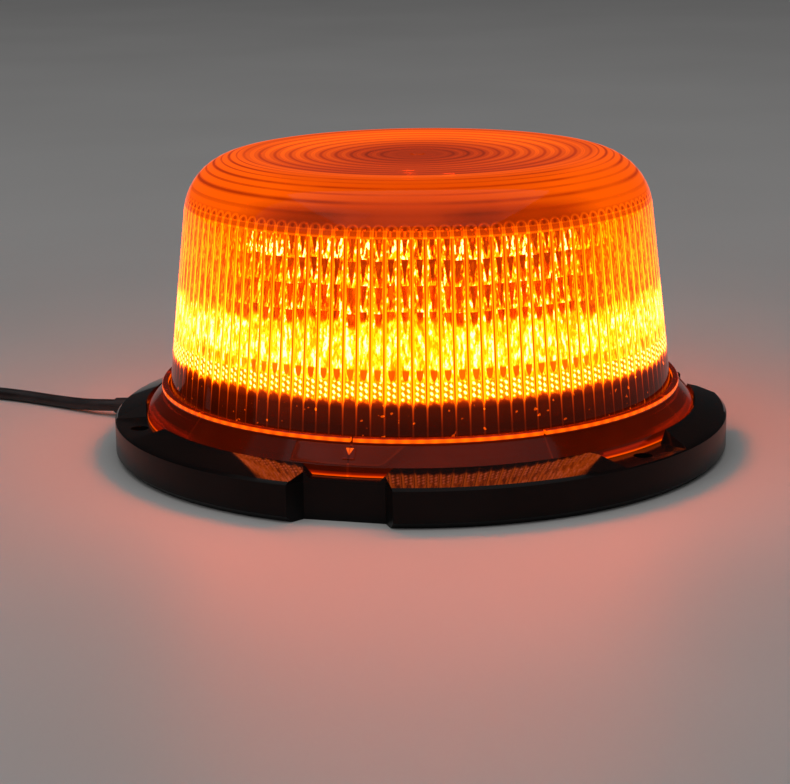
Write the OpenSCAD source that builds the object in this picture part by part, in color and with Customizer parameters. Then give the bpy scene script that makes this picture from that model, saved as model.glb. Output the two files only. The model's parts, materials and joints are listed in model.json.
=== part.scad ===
// Round amber LED warning beacon: a low black flange, a ribbed lens on a light tower, a twist-off
// lock ring, and a lead that ends in a vehicle lighter plug.
// +Z is up. The origin is the centre of the underside. Angles are counted anticlockwise from the
// front, which is the -Y direction, and a shape that repeats is drawn at the front and turned.

/* [Base] */
// Diameter of the base flange
base_d = 180; // [178:0.5:184]
// Height of the flange at its rim
rim_h = 11.3; // [11:0.1:12]
// Height of the flange's cone where it meets the lock ring
cone_h = 14.3; // [14:0.1:14.6]
// Pitch circle diameter of the three fixing holes
fixing_pcd = 168; // [166:0.5:169]
// Diameter of a fixing hole
fixing_d = 5.2; // [4.2:0.1:5.5]
// Angle of the front notch from the front
notch_angle = -14; // [-20:1:-8]
// Depth of a rim notch
notch_depth = 6.3; // [4:0.1:6.6]

/* [Lens] */
// Height of the rim round the top of the lens
lens_h = 86.8; // [86:0.1:90]
// Depth of the dish in the top of the lens
dish_depth = 0.9; // [0.4:0.1:2]
// Outer radius of the lens wall level with the lip of the lock ring
lens_r = 73.4; // [73:0.1:73.5]
// Radius of the rounded shoulder and rim
shoulder_r = 17; // [12:0.5:22]
// Draft of the lens wall in degrees
lens_draft = 6.34; // [5:0.02:7]
// Thickness of the lens wall
lens_t = 3; // [2.4:0.1:3]

/* [Lock ring] */
// Height of the lip of the lock ring
lip_z = 20.9; // [20.6:0.1:22]
// Number of slots in the lip
lip_slots = 9; // [3:1:12]
// Width of a slot in the lip
slot_w = 0.8; // [0.6:0.1:1.2]

/* [Light tower] */
// Number of side boards
tower_sides = 6; // [6]
// Distance from the axis to a side board
tower_apothem = 24; // [22:0.5:25]
// Height of the middle row of LEDs
led_mid_z = 43; // [42:0.5:46]
// Distance between LED rows
led_row_pitch = 7.4; // [7:0.1:7.6]
// Distance between LED columns
led_col_pitch = 12; // [11.5:0.1:12.4]

/* [Cable] */
// Diameter of the cable
cable_d = 3.8; // [3.6:0.1:3.9]
// Direction in which the cable leaves, from the front
cable_angle = -110; // [-112:1:-108]
// Height of the cable where it leaves
cable_exit_z = 3.4; // [3.4:0.1:3.6]
// Radius of the coil at the middle of its turns
coil_mid_r = 22.8; // [22.8:0.1:24]

/* [Plug] */
// Diameter of the plug's handle
handle_d = 22.6; // [22:0.1:24]
// Diameter of the plug's barrel
barrel_d = 20.6; // [20:0.1:21]
// Length of the handle
handle_len = 42; // [40:0.5:46]
// Length of the barrel up to the nose ring
barrel_len = 34; // [34:0.5:38]

/* [Hidden] */
$fn = 96;
eps = 0.01;
base_r = base_d / 2;
third = 120;                                   // the base repeats three times round
fixing_r = fixing_pcd / 2;
pocket_angle = notch_angle + third / 2;        // pockets sit midway between the notches
pocket_z = 10.9;                               // floor of a screw pocket
cone_r = 80.9;                                 // inner edge of the flange's cone
channel_z = 10.8;                              // floor of the channel under the lock ring
seat_r = 75;                                   // drum that the lens stands on
seat_z = 14.4;
spigot_r = 69.6;                               // upstand inside the lens
spigot_z = 19.4;
cavity_r = 66;                                 // hollow under the deck
skin_t = 2.4;                                  // thickness of the deck and of the channel floor
recess_r = 80;                                 // recess for the bottom plate
recess_z = 3;
plate_z = 1;                                   // underside of the bottom plate
gasket_in_r = 62.6;
gap = 0.3;                                     // clearance round moving pieces
plate_screw_r = 73;
magnet_r = 44;                                 // circle of the three magnets
magnet_angle = notch_angle;
cup_r = 18;
tower_foot_r = 33;
tower_foot_t = 3;
tower_top_z = 56;
core_bore_r = 14;
board_t = 1.6;
board_w = 26;
board_h = 25;
board_z = 30.5;                                // lower edge of a side board
led_w = 3.5;
led_h = 1.4;
optic_len = 6.2;
driver_z = 18.2;                               // underside of the driver board
driver_r = 60;
driver_bore_r = 36;
cable_r = cable_d / 2;
coil_cols = 4;
coil_rows = 4;
coil_w = coil_cols * cable_d;
coil_h = coil_rows * cable_d;
strap_t = 0.6;                                 // the tie under the coil lifts it by this much
coil_c = [-176, 38];
coil_out_r = coil_mid_r + coil_w / 2;
plug_x = coil_c[0] - coil_mid_r - (coil_cols - 1) / 2 * cable_d;
plug_y = 2;                                    // rear face of the plug's handle
plug_z = handle_d / 2 + 0.05;
wall_t = 2;
nose_len = 11;
tip_r = 2.9;
button_r = 3.6;
button_ys = [-11, -26];                        // power and mode buttons, from the rear face
ear_r = 77.3;                                  // bayonet ears on the drum
ear_z = 12.9;
ear_span = 24;
lug_span = 14;                                 // bayonet lugs inside the lock ring
flange_r = 75.2;                               // foot flange of the lens
flange_z = 16.8;
ring_foot_z = 11.4;
ring_wall_r = 77.8;
ring_in_r = 74.2;
lip_r = 75.9;
cup_top_z = 7.4;
tower_screw_r = 28;
tower_screw_angle = pocket_angle;
cap_screw_r = 19;
cap_screw_angle = 30;
top_board_z = tower_top_z + 1.6;
driver_top_z = driver_z + board_t;
lead_hole_r = 55.3;
grommet_r = cable_exit_z - 0.2;
boot_end_r = 101;
handle_r = handle_d / 2;
barrel_r = barrel_d / 2;
barrel_end = handle_len + barrel_len;
stub_r = 7.8;
stub_end = barrel_end + 7;
nose_r = 9.8;
nose_end = barrel_end + nose_len;
flange_back = nose_end - 3.9;
tip_end = nose_end + 6.5;
fuse_start = handle_len + 2;
fuse_end = barrel_end - 2;
spring_turns = 3;
contact_y = barrel_end - 17;
shell_screw_x = 6;
shell_screw_y = handle_len - 5;
shell_screw_z = 6.4;
boot_len = 12;
button_z = 6.6;
switch_top_z = 5.3;
indicator_y = (button_ys[0] + button_ys[1]) / 2;

// The route of the free cable from the end of the boot to the coil, lying on the ground
lead_route = [
    [-94.9, 34.5, 3.4], [-97.7, 35.5, 3.3], [-101, 37, 3.0], [-106, 40.3, 2.5], [-112, 44.5, 2.1],
    [-118.5, 48.8, 1.95], [-127, 54, 1.95], [-136, 58.5, 1.95], [-146, 62.4, 1.95], [-156, 65.1, 2.1],
    [-165, 66.2, 2.3]
];
// The route of the cable from the coil down to the plug's boot
tail_route = [
    [-204.5, 27.5, 13.4], [-204.5, 24, 12.8], [-204.5, 20, 12], [-204.5, 17, 11.5], [-204.5, 14, 11.35]
];
// The route of the lead inside the base, from the grommet up to the terminal block
inner_route = [
    [-94.9, 34.5, 3.4], [-88, 32, 3.4], [-78, 28.4, 3.4], [-73, 26.6, 3.5], [-69, 25.1, 4], [-65, 23.7, 5],
    [-61, 22.2, 5.6], [-57, 20.7, 6.1], [-54, 19.7, 7.4], [-52.4, 19.1, 9.6], [-52, 18.9, 12.6],
    [-52, 18.9, 16], [-52, 18.9, 19.8]
];

// Turns children from the front to an angle counted anticlockwise
module at(angle) rotate([0, 0, angle]) children();

// Repeats children n times round, the first one at the given angle
module around(n, first = 0) for (i = [0:n - 1]) at(first + i * 360 / n) children();

// Moves children out to a radius at the front
module out(r, z = 0) translate([0, -r, z]) children();

// A band between two radii and two heights
module band(r0, r1, z0, z1) rotate_extrude() translate([r0, z0]) square([r1 - r0, z1 - z0]);

// A part of a band that spans an angle centred on the front
module arc_band(r0, r1, z0, z1, span) rotate([0, 0, -90 - span / 2])
    rotate_extrude(angle = span) translate([r0, z0]) square([r1 - r0, z1 - z0]);

// A radial cut whose side walls lean outwards, from its floor at z0 to z1
module flared_cut(half_w, lean, z0, z1, r0, r1) out(r0) rotate([90, 0, 0]) linear_extrude(r1 - r0)
    polygon([[-half_w, z0], [half_w, z0], [half_w + lean, z1], [-half_w - lean, z1]]);

// A countersunk screw with its head down, its head face at z0
module flat_screw(head_r, head_h, shank_r, len) {
    cylinder(r1 = head_r, r2 = shank_r, h = head_h);
    translate([0, 0, head_h - eps]) cylinder(r = shank_r, h = len - head_h + eps);
}

// A pan-head screw with its shank down, the seat of its head at z = 0
module pan_screw(head_r, head_h, shank_r, len) difference() {
    union() {
        cylinder(r = head_r, h = head_h);
        translate([0, 0, -len]) cylinder(r = shank_r, h = len + eps);
    }
    translate([-head_r * 0.6, -0.3, head_h * 0.5]) cube([head_r * 1.2, 0.6, head_h]);
    translate([-0.3, -head_r * 0.6, head_h * 0.5]) cube([0.6, head_r * 1.2, head_h]);
}

// ---- Sweep of a round tube along a route ----
function unit(v) = v / norm(v);
function last(v) = len(v) - 1;
// Catmull-Rom point between route points i and i + 1
function spline(p, i, t) =
    let (a = p[max(i - 1, 0)], b = p[i], c = p[i + 1], d = p[min(i + 2, last(p))])
    0.5 * (2 * b + (c - a) * t + (2 * a - 5 * b + 4 * c - d) * t * t + (3 * b - a - 3 * c + d) * t * t * t);
function smooth(p, per) = [for (i = [0:last(p) - 1], k = [0:per - 1]) spline(p, i, k / per), p[last(p)]];
function heading(p, i) = unit(p[min(i + 1, last(p))] - p[max(i - 1, 0)]);
// One ring of the tube: sideways is level, so the ring never twists on a low route
function tube_ring(c, dir, side, r, sides) =
    let (up = cross(side, dir))
    [for (k = [0:sides - 1]) c + r * (cos(360 * k / sides) * side + sin(360 * k / sides) * up)];
module tube(route, r, side, per = 2, sides = 8) {
    path = smooth(route, per);
    n = len(path);
    rings = [for (i = [0:n - 1])
        let (dir = heading(path, i), s = side == undef ? unit(cross(dir, [0, 0, 1])) : side)
        each tube_ring(path[i], dir, s, r, sides)];
    quads = [for (i = [0:n - 2], k = [0:sides - 1])
        let (m = (k + 1) % sides)
        [i * sides + k, (i + 1) * sides + k, (i + 1) * sides + m, i * sides + m]];
    ends = [[for (k = [0:sides - 1]) k], [for (k = [sides - 1:-1:0]) (n - 1) * sides + k]];
    polyhedron(rings, concat(quads, ends));
}

// ---- Lens outline: a drafted wall and a round rim that runs on smoothly into a dished top ----
function wall_r(z) = lens_r + (lip_z - z) * tan(lens_draft);
function rim_c() = let (z = lens_h - shoulder_r) [wall_r(z) - shoulder_r / cos(lens_draft), z];
// Radius of curvature of the dish that touches the rim's arc
function dish_r() = let (c = rim_c(), h = shoulder_r - dish_depth)
    (c[0] * c[0] + h * h - shoulder_r * shoulder_r) / (2 * dish_depth);
// Outline from the rim's foot to the axis, set in by a distance
function dome_outline(inset, rim_n = 12, top_n = 6) =
    let (c = rim_c(), ra = shoulder_r - inset, rb = dish_r() + inset,
         top = lens_h - dish_depth + dish_r(), b1 = atan(c[0] / (top - c[1])))
    concat(
        [for (i = [0:rim_n]) let (a = lens_draft + (90 + b1 - lens_draft) * i / rim_n)
            c + ra * [cos(a), sin(a)]],
        [for (i = [1:top_n]) let (b = b1 * (1 - i / top_n)) [rb * sin(b), top - rb * cos(b)]]);
function flip(v) = [for (i = [last(v):-1:0]) v[i]];

// ---- Base ----
module base_housing() color("#1b1b1d") difference() {
    union() {
        rotate_extrude() polygon([
            [0, recess_z], [recess_r, recess_z], [recess_r, 0], [base_r - 1.9, 0], [base_r, 1.8],
            [base_r, rim_h - 0.8], [base_r - 0.8, rim_h], [cone_r, cone_h], [cone_r, channel_z],
            [seat_r, channel_z], [seat_r, seat_z], [spigot_r, seat_z], [spigot_r, spigot_z],
            [spigot_r - skin_t, spigot_z], [spigot_r - skin_t, seat_z], [0, seat_z]]);
        around(3, pocket_angle) arc_band(seat_r - 1, ear_r, ear_z, seat_z, ear_span);
        around(3, pocket_angle - lug_span / 2 - 2)
            arc_band(seat_r - 1, ear_r, channel_z - 1, ear_z, 3);
    }
    housing_cavity();
    band(spigot_r - 0.9, spigot_r + 1, 15.95, 18.05);
    around(3, notch_angle) {
        linear_extrude(3 * rim_h, center = true)
            polygon([[-11.2, notch_depth - base_r], [11.2, notch_depth - base_r],
                     [15.9, -base_r - 1], [-15.9, -base_r - 1]]);
        flared_cut(9.4, 3, rim_h, cone_h, cone_r - 2, base_r + 1);
    }
    around(3, pocket_angle) {
        flared_cut(13, 2.6, pocket_z, cone_h, cone_r - 2, base_r + 1);
        out(fixing_r, -1) cylinder(d = fixing_d, h = rim_h + 2);
    }
    at(cable_angle) cable_slot(grommet_r + 0.05);
    at(cable_angle) out(lead_hole_r, 0) cylinder(r = 3, h = seat_z + 1);
    around(3, tower_screw_angle) out(tower_screw_r, 0) cylinder(r = 2.2, h = seat_z + 1);
}

// The hollow under the deck, less the bosses that stand in it
module housing_cavity() difference() {
    rotate_extrude() polygon([[0, recess_z - 1], [78, recess_z - 1], [78, channel_z - skin_t],
        [cavity_r, channel_z - skin_t], [cavity_r, seat_z - skin_t], [0, seat_z - skin_t]]);
    around(6, notch_angle) out(plate_screw_r) difference() {
        translate([0, 0, recess_z]) cylinder(r = 3.6, h = channel_z);
        cylinder(r = 1.3, h = channel_z - 1.4);
    }
    around(3, magnet_angle) out(magnet_r) difference() {
        translate([0, 0, cup_top_z]) cylinder(r = 6, h = seat_z - cup_top_z);
        cylinder(r = 1.7, h = seat_z - 1.4);
    }
}

// The slot that the grommet sits in, open downwards
module cable_slot(r) {
    out(78 - eps, cable_exit_z) rotate([90, 0, 0]) cylinder(r = r, h = base_r - 76);
    translate([-r, -base_r - 1, -1]) cube([2 * r, base_r - 77 + eps, cable_exit_z + 1]);
}

module bottom_plate() color("#2a2a2c") difference() {
    band(0, recess_r - gap, plate_z, recess_z);
    around(3, magnet_angle) out(magnet_r, 0) cylinder(r = cup_r + gap, h = 4);
    around(6, notch_angle) out(plate_screw_r, plate_z - eps) flat_screw(3.1, 1.5, 1.5, 3);
    at(cable_angle) translate([-4, -recess_r - 1, 0]) cube([8, 12, 4]);
}

module bottom_screws() color("#9a9a9a") around(6, notch_angle)
    out(plate_screw_r, plate_z) flat_screw(3, 1.5, 1.25, 7.2);

module foot_gasket() color("#111111") difference() {
    band(gasket_in_r, recess_r - 3 * gap, 0, plate_z);
    at(cable_angle) translate([-grommet_r - gap, -recess_r, -1])
        cube([2 * (grommet_r + gap), recess_r - 78 + gap, plate_z + 2]);
}

module magnet_cups() color("#b8bbc0") around(3, magnet_angle) out(magnet_r) difference() {
    translate([0, 0, 0.4]) cylinder(r = cup_r, h = cup_top_z - 0.4);
    cylinder(r = cup_r - 1.3, h = 5.4);
    cylinder(r = 2.1, h = 10);
}

module magnets() color("#8d8f94") around(3, magnet_angle) out(magnet_r) difference() {
    translate([0, 0, 0.4]) cylinder(r = cup_r - 1.4, h = 5);
    cylinder(r = 4.6, h = 10);
}

module magnet_screws() color("#9a9a9a") around(3, magnet_angle)
    out(magnet_r, 2.9) union() {
        cylinder(r = 3.9, h = 2.5);
        cylinder(r = 1.65, h = 9);
    }

// ---- Lens and lock ring ----
module lens() color("#ff8a00", 0.75) rotate_extrude() polygon(concat(
    [[wall_r(seat_z) - lens_t, seat_z], [flange_r, seat_z], [flange_r, flange_z],
     [wall_r(flange_z), flange_z]],
    dome_outline(0), flip(dome_outline(lens_t))));

module lens_seal() color("#202020") rotate_extrude() translate([spigot_r + 0.13, 17]) circle(r = 1);

module lock_ring() color("#ff7a00", 0.85) difference() {
    union() {
        rotate_extrude() polygon([
            [cone_r - 0.4, ring_foot_z], [80.1, 14], [lip_r - 0.4, lip_z - 1.7],
            [lip_r, lip_z - 1.6], [lip_r, lip_z - 0.3], [lip_r - 0.3, lip_z],
            [ring_in_r, lip_z], [ring_in_r, flange_z + 0.4], [flange_r + 0.5, flange_z + 0.4],
            [ring_wall_r, 14.8], [ring_wall_r, ring_foot_z]]);
        around(3, pocket_angle)
            arc_band(seat_r + 0.4, ring_wall_r + 0.5, ring_foot_z, ear_z - gap, lug_span);
        around(3, notch_angle) latch_nib();
    }
    around(lip_slots, notch_angle)
        translate([-slot_w / 2, -lip_r - 1, lip_z - 1.9]) cube([slot_w, 3, 3]);
}

// A small wedge on the ring's cone under a slot, for the tool that turns the ring
module latch_nib() translate([-1.7, 0, 0]) rotate([90, 0, 90]) linear_extrude(3.2)
    polygon([[-76, 18.2], [-77.4, 18.4], [-79.3, 15.9], [-77.8, 16.1]]);

// ---- Light tower ----
module tower_core() color("#b9bcc2") difference() {
    union() {
        translate([0, 0, seat_z]) cylinder(r = tower_foot_r, h = tower_foot_t);
        translate([0, 0, seat_z + eps])
            cylinder(r = tower_apothem / cos(30), h = tower_top_z - seat_z - eps, $fn = 6);
    }
    translate([0, 0, seat_z - 1]) cylinder(r = core_bore_r, h = tower_top_z);
    around(3, tower_screw_angle) out(tower_screw_r, seat_z - 1) cylinder(r = 1.7, h = 3.2);
    around(3, cap_screw_angle) out(cap_screw_r, tower_top_z - 8) cylinder(r = 1.3, h = 9);
}

module tower_screws() color("#9a9a9a") around(3, tower_screw_angle)
    out(tower_screw_r, seat_z - skin_t) rotate([180, 0, 0]) pan_screw(3.4, 2.2, 1.6, 4.4);

module led_board(i) color("#f2f2ee") at((i - 1) * 360 / tower_sides) difference() {
    translate([-board_w / 2, -tower_apothem - board_t, board_z]) cube([board_w, board_t, board_h]);
    for (x = [-1, 1]) translate([x * 11.6, -tower_apothem + 1, led_mid_z]) rotate([90, 0, 0])
        cylinder(r = 0.8, h = 4);
}

// Places children at each LED of one side, looking outwards along -Y
module each_led() for (x = [-0.5, 0.5], k = [-1:1])
    translate([x * led_col_pitch, 0, led_mid_z + k * led_row_pitch]) children();

// One LED package that stands on the plane y = 0 and faces -Y
module led_package() rotate([90, 0, 0]) union() {
    translate([-led_w / 2, -led_w / 2, 0]) cube([led_w, led_w, led_h - 0.6]);
    cylinder(r = 1.35, h = led_h);
}

module leds() color("#ffd36b") around(tower_sides) out(tower_apothem + board_t) each_led()
    led_package();

// Clear plate with one collimator over each LED
module optic(i) color("#f6f6f6", 0.6) at((i - 1) * 360 / tower_sides)
    out(tower_apothem + board_t) union() {
        translate([-board_w / 2, -optic_len, board_z + 0.5]) cube([board_w, 1.2, board_h - 1]);
        each_led() translate([0, -led_h - 0.1, 0]) rotate([90, 0, 0])
            cylinder(r1 = 1.9, r2 = 3.5, h = optic_len - led_h - 1);
        for (x = [-1, 1]) translate([x * 11.6, 0, led_mid_z]) rotate([90, 0, 0])
            cylinder(r = 1.1, h = optic_len - 1);
    }

module tower_cap() color("#ececec") difference() {
    rotate_extrude() polygon([[0, tower_top_z], [34.6, tower_top_z], [35, tower_top_z + 0.6],
        [27.6, tower_top_z + 1.6], [0, tower_top_z + 1.6]]);
    around(3, cap_screw_angle) out(cap_screw_r, tower_top_z - 1) cylinder(r = 1.4, h = 4);
    translate([0, 0, tower_top_z - 1]) cylinder(r = 3, h = 4);
}

module top_board() color("#f2f2ee") difference() {
    translate([0, 0, top_board_z]) cylinder(r = 23, h = board_t);
    around(3, cap_screw_angle) out(cap_screw_r, top_board_z - 1) cylinder(r = 1.4, h = 4);
    translate([0, 0, top_board_z - 1]) cylinder(r = 2.5, h = 4);
}

module top_leds() color("#ffd36b") around(4, 15) out(11, top_board_z + board_t)
    rotate([-90, 0, 0]) led_package();

module cap_screws() color("#9a9a9a") around(3, cap_screw_angle)
    out(cap_screw_r, top_board_z + board_t) pan_screw(2.4, 1.6, 1.2, 8);

// ---- Driver electronics ----
module driver_board() color("#1d3a24") difference() {
    band(driver_bore_r, driver_r, driver_z, driver_z + board_t);
    around(4, 45) out(48, driver_z - 1) cylinder(r = 1.5, h = 4);
    at(cable_angle) out(lead_hole_r, driver_z - 1) cylinder(r = 2.6, h = 4);
}

module driver_standoffs() color("#c9a24a") around(4, 45) out(48, seat_z) difference() {
    cylinder(r = 3, h = driver_z - seat_z);
    translate([0, 0, -1]) cylinder(r = 1.3, h = 8);
}

module driver_screws() color("#9a9a9a") around(4, 45)
    out(48, driver_top_z) pan_screw(2.6, 1.6, 1.2, 4.6);

module capacitors() color("#303642") for (a = [-22, 0, 22]) at(a) out(48, driver_top_z) union() {
    cylinder(r = 4, h = 8.6);
    cylinder(r = 4.3, h = 1.2);
}

module choke() color("#b5702c") at(180) out(48, driver_top_z)
    rotate_extrude() translate([5.4, 2.9]) circle(r = 2.8);

module transistors() color("#242426") for (a = [84, 98, 112]) at(a) out(48, driver_top_z) union() {
    translate([-3.2, -3, 0]) cube([6.4, 6, 2.3]);
    for (x = [-2.2, 0, 2.2]) translate([x - 0.4, 2.9, 0]) cube([0.8, 2.6, 0.6]);
}

module controller() color("#1c1c1e") at(-70) out(48, driver_top_z) union() {
    translate([-4.5, -3.2, 0.2]) cube([9, 6.4, 1.6]);
    for (x = [-3.6:1.2:3.6]) translate([x - 0.2, -4.4, 0]) cube([0.4, 8.8, 0.4]);
}

module terminal_block() color("#2e6b3c") at(cable_angle) out(lead_hole_r, driver_top_z)
    difference() {
        translate([-6, -4.5, 0]) cube([12, 9, 8.5]);
        for (x = [-2.6, 2.6]) translate([x, 0, 5.5]) cylinder(r = 1.7, h = 4);
    }

// ---- Cable ----
// Rubber grommet in the rim's slot, with a tapered boot outside
module cable_grommet() color("#161616") at(cable_angle) difference() {
    union() {
        out(78, cable_exit_z) rotate([90, 0, 0]) cylinder(r = grommet_r, h = base_r - 78 + 0.6);
        translate([-grommet_r, -base_r + 0.6, 0.2])
            cube([2 * grommet_r, base_r - 80.6, cable_exit_z - 0.2]);
        out(base_r, cable_exit_z) rotate([90, 0, 0])
            cylinder(r1 = grommet_r, r2 = cable_r + 0.5, h = boot_end_r - base_r);
    }
    out(70, cable_exit_z) rotate([90, 0, 0]) cylinder(r = cable_r + 0.03, h = 40);
}

module inner_lead() color("#151515") tube(inner_route, cable_r, side = [-sin(20), -cos(20), 0]);

module cable_lead() color("#151515") tube(lead_route, cable_r);

// Outer shape of the coil
module cable_coil() color("#191919") translate([coil_c[0], coil_c[1], 0])
    band(coil_mid_r - coil_w / 2, coil_out_r, strap_t, strap_t + coil_h);

// Strap round the coil
module coil_tie() color("#2b2b2b") translate([coil_c[0], coil_c[1], 0]) rotate([0, 0, 210])
    rotate_extrude(angle = 20) difference() {
        translate([coil_mid_r - coil_w / 2 - strap_t, 0])
            square([coil_w + 2 * strap_t, coil_h + 2 * strap_t]);
        translate([coil_mid_r - coil_w / 2, strap_t]) square([coil_w, coil_h]);
    }

module cable_tail() color("#151515") tube(tail_route, cable_r);

// ---- Plug: its axis runs along -Y from the rear face of the handle ----
module at_plug() translate([plug_x, plug_y, plug_z]) children();
// A turned shape about the plug's axis, from points of radius and distance forwards
module turned(points) rotate([90, 0, 0]) rotate_extrude() polygon(points);

module plug_boot() color("#161616") at_plug() turned([[0, -boot_len], [cable_r + 0.5, -boot_len],
    [3.6, -0.1], [3.6, 0], [2.9, 0], [2.9, wall_t], [4.2, wall_t], [4.2, wall_t + 1.6],
    [0, wall_t + 1.6]]);

// Outer and inner outline of the two shells together
module shell_solid() turned([[0, 0], [handle_r - 1.4, 0], [handle_r, 1.4],
    [handle_r, handle_len - 4], [barrel_r, handle_len], [barrel_r, barrel_end],
    [stub_r, barrel_end], [stub_r, stub_end], [0, stub_end]]);
module shell_hollow() union() {
    turned([[0, wall_t], [handle_r - wall_t, wall_t], [handle_r - wall_t, handle_len - 5],
        [barrel_r - wall_t, handle_len - 1], [barrel_r - wall_t, barrel_end - 3],
        [stub_r - 1.4, barrel_end - 2], [stub_r - 1.4, stub_end + 1], [0, stub_end + 1]]);
    turned([[0, -1], [2.95, -1], [2.95, wall_t + eps], [0, wall_t + eps]]);
}
module contact_slots() for (s = [-1, 1])
    translate([s > 0 ? 6 : -barrel_r - 1, -contact_y - 7.2, -2.6]) cube([barrel_r - 5, 14.4, 5.2]);
// Half space above (1) or below (-1) the split
module half(s) translate([-20, -100, s > 0 ? 0 : -20]) cube([40, 110, 20]);

module plug_shell_upper() color("#1d1d1f") at_plug() difference() {
    union() {
        intersection() {
            difference() {
                shell_solid();
                shell_hollow();
            }
            half(1);
        }
        for (x = [-1, 1]) translate([x * shell_screw_x, -shell_screw_y, 0]) cylinder(r = 2.5, h = 8);
    }
    contact_slots();
    for (y = button_ys) translate([0, y, 5]) cylinder(r = button_r + gap, h = 10);
    translate([0, indicator_y, 5]) cylinder(r = 1.65, h = 10);
    for (x = [-1, 1]) translate([x * shell_screw_x, -shell_screw_y, -1]) cylinder(r = 1, h = 7);
}

module plug_shell_lower() color("#1d1d1f") at_plug() difference() {
    union() {
        intersection() {
            difference() {
                shell_solid();
                shell_hollow();
            }
            half(-1);
        }
        for (x = [-1, 1]) translate([x * shell_screw_x, -shell_screw_y, -8]) cylinder(r = 2.5, h = 8);
    }
    contact_slots();
    for (x = [-1, 1]) translate([x * shell_screw_x, -shell_screw_y, -12]) {
        cylinder(r = 1.1, h = 13);
        cylinder(r = 2.1, h = 12 - shell_screw_z);
    }
}

module plug_screws() color("#8a8a8a") at_plug() for (x = [-1, 1])
    translate([x * shell_screw_x, -shell_screw_y, -shell_screw_z]) rotate([180, 0, 0])
        pan_screw(1.9, 1.4, 0.95, 10);

module plug_nose_ring() color("#242426") at_plug() difference() {
    turned([[stub_r + 0.1, barrel_end + 0.1], [nose_r, barrel_end + 0.1], [nose_r, nose_end - 1.5],
        [nose_r - 1.5, nose_end], [tip_r + 0.1, nose_end], [tip_r + 0.1, nose_end - 2],
        [stub_r + 0.1, nose_end - 2]]);
    for (i = [0:11]) rotate([0, i * 30, 0]) translate([nose_r + 0.5, -barrel_end - 1, 0])
        rotate([90, 0, 0]) cylinder(r = 1, h = nose_len - 4);
}

module plug_tip() color("#d8d8da") at_plug() turned([[0, flange_back], [5.4, flange_back],
    [5.4, flange_back + 1.8], [tip_r, flange_back + 1.8], [tip_r, tip_end - 2],
    [tip_r - 1.3, tip_end - 0.5], [0, tip_end]]);

// Coil spring between the fuse and the tip's flange
module plug_tip_spring() color("#c4c6ca") at_plug()
    tube([for (a = [0:30:360 * spring_turns]) [3.6 * cos(a), -fuse_end - 0.7
        - (flange_back - fuse_end - 1.4) * a / (360 * spring_turns), 3.6 * sin(a)]],
        0.45, side = [0, 1, 0], per = 1, sides = 6);

module plug_fuse() color("#cfd2d6") at_plug() turned([[0, fuse_start], [3.2, fuse_start],
    [3.2, fuse_start + 6], [2.8, fuse_start + 6], [2.8, fuse_end - 6], [3.2, fuse_end - 6],
    [3.2, fuse_end], [0, fuse_end]]);

// One sprung side contact; s is the side it stands on
module side_contact(s) at_plug() translate([0, 0, -2.1]) linear_extrude(4.2)
    polygon([for (p = [[7.4, -6.6], [10.4, -6.6], [11.8, -2.4], [11.8, 2.4], [10.4, 6.6], [7.4, 6.6]])
        [s * p[0], p[1] - contact_y]]);
module plug_contact_left() color("#d8d8da") side_contact(-1);
module plug_contact_right() color("#d8d8da") side_contact(1);

module plug_board() color("#1d3a24") at_plug() translate([-6.5, -32, 0.6]) cube([13, 26, 1.4]);

module plug_switches() color("#3a3a3c") at_plug() for (y = button_ys) translate([0, y, 2]) union() {
    translate([-3, -3, 0]) cube([6, 6, 2]);
    cylinder(r = 1.7, h = switch_top_z - 2);
}

module push_button(y) at_plug() translate([0, y, 0]) union() {
    translate([0, 0, button_z]) cylinder(r = button_r, h = handle_r + 1.3 - button_z);
    translate([0, 0, button_z]) cylinder(r = button_r + 0.9, h = 0.9);
}
module plug_power_button() color("#c03028") push_button(button_ys[0]);
module plug_mode_button() color("#3c3c40") push_button(button_ys[1]);

module plug_indicator() color("#ff4030") at_plug() translate([0, indicator_y, handle_r - 2.6])
    cylinder(r = 1.6, h = 2.8);

base_housing();
bottom_plate();
bottom_screws();
foot_gasket();
magnet_cups();
magnets();
magnet_screws();
lens();
lens_seal();
lock_ring();
tower_core();
tower_screws();
tower_cap();
cap_screws();
top_board();
top_leds();
for (i = [1:tower_sides]) led_board(i);
leds();
for (i = [1:tower_sides]) optic(i);
driver_board();
driver_standoffs();
driver_screws();
capacitors();
choke();
transistors();
controller();
terminal_block();
cable_grommet();
inner_lead();
cable_lead();
cable_coil();
coil_tie();
cable_tail();
plug_boot();
plug_shell_upper();
plug_shell_lower();
plug_screws();
plug_nose_ring();
plug_tip();
plug_tip_spring();
plug_fuse();
plug_contact_left();
plug_contact_right();
plug_board();
plug_switches();
plug_power_button();
plug_mode_button();
plug_indicator();
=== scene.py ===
import json
import math

import bpy
from mathutils import Matrix, Vector


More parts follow.
